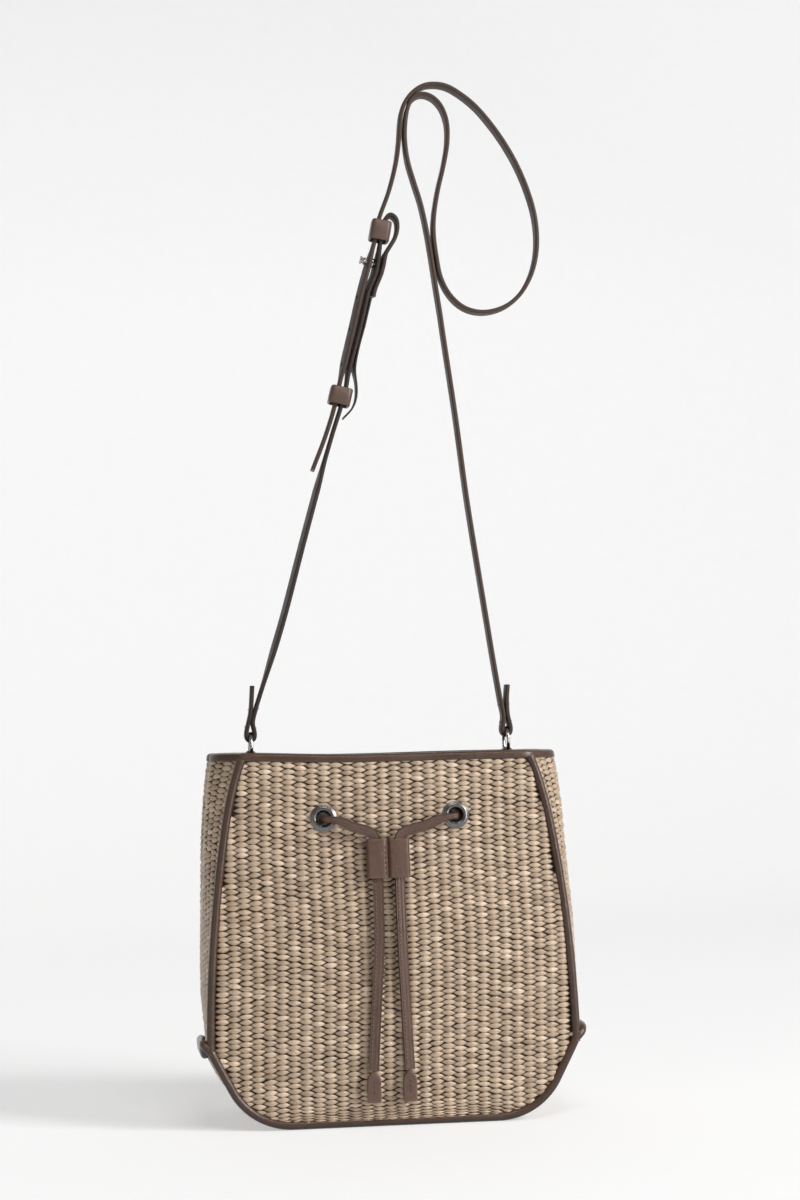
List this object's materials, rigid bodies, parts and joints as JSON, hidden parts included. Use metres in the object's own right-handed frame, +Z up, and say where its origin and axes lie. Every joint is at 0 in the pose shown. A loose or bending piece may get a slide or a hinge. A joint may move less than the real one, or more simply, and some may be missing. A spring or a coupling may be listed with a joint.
{
  "type": "bucket bag",
  "caption": "Small woven raffia bucket bag with leather piping and rim, a drawstring with a slider through metal eyelets, and a crossbody strap on rings.",
  "frame": {"origin": "middle of the base's underside, on the surface that the bag stands on", "axes": "+Z up, -Y out of the front with the drawstring, +X to the right seen from the front"},
  "size_m": [0.234, 0.1156, 0.6365],
  "materials": {
    "raffia": "woven natural raffia, taupe-beige, with a soft straw sheen",
    "trim_leather": "smooth brown calf leather, semi-gloss, over a piping cord",
    "string_leather": "smooth brown leather, folded flat and edge-stitched",
    "strap_leather": "dark brown leather, satin, with painted edges",
    "keeper_leather": "taupe-brown leather, satin",
    "lining_cloth": "fine twill lining, matt",
    "board": "grey fibreboard, matt",
    "gunmetal": "gunmetal plating, polished",
    "polished_metal": "dark nickel plating, polished"
  },
  "bodies": {
    "bag": {"front_panel": "raffia", "back_panel": "raffia", "left_gusset": "raffia", "right_gusset": "raffia", "base_panel": "raffia", "base_board": "board", "lining": "lining_cloth", "rim_binding": "trim_leather", "piping_front_left": "trim_leather", "piping_front_right": "trim_leather", "piping_back_left": "trim_leather", "piping_back_right": "trim_leather", "base_piping": "trim_leather", "eyelet_front_left": "gunmetal", "eyelet_front_right": "gunmetal", "eyelet_back_left": "gunmetal", "eyelet_back_right": "gunmetal", "eyelet_washer_front_left": "gunmetal", "eyelet_washer_front_right": "gunmetal", "eyelet_washer_back_left": "gunmetal", "eyelet_washer_back_right": "gunmetal", "ring_tab_left": "trim_leather", "ring_tab_right": "trim_leather", "drawstring_back": "string_leather"},
    "ring_left": {"ring_left": "polished_metal"},
    "ring_right": {"ring_right": "polished_metal"},
    "strap": {"strap_long": "strap_leather", "strap_short": "strap_leather", "keeper_strip": "strap_leather", "keeper_upper": "keeper_leather", "keeper_lower": "keeper_leather", "strap_stud": "polished_metal", "stud_screw": "polished_metal"},
    "drawstring": {"drawstring_left": "string_leather", "drawstring_right": "string_leather", "tip_left": "string_leather", "tip_right": "string_leather"},
    "slider": {"slider": "string_leather"}
  },
  "joints": [
    {"name": "strap_swing", "type": "hinge", "parent": "bag", "child": "strap", "pos_m": [0, 0, 0.224], "axis": [1, 0, 0], "range_deg": [-70, 70]},
    {"name": "ring_left_turn", "type": "hinge", "parent": "bag", "child": "ring_left", "pos_m": [-0.079, 0, 0.224], "axis": [1, 0, 0], "continuous": true},
    {"name": "ring_right_turn", "type": "hinge", "parent": "bag", "child": "ring_right", "pos_m": [0.079, 0, 0.224], "axis": [1, 0, 0], "continuous": true},
    {"name": "drawstring_swing", "type": "hinge", "parent": "bag", "child": "drawstring", "pos_m": [0, -0.0522, 0.1807], "axis": [-1, 0, 0], "range_deg": [0, 75]},
    {"name": "slider_slide", "type": "slide", "parent": "drawstring", "child": "slider", "axis": [0, -0.0896, -0.996], "range_m": [0, 0.03]}
  ]
}
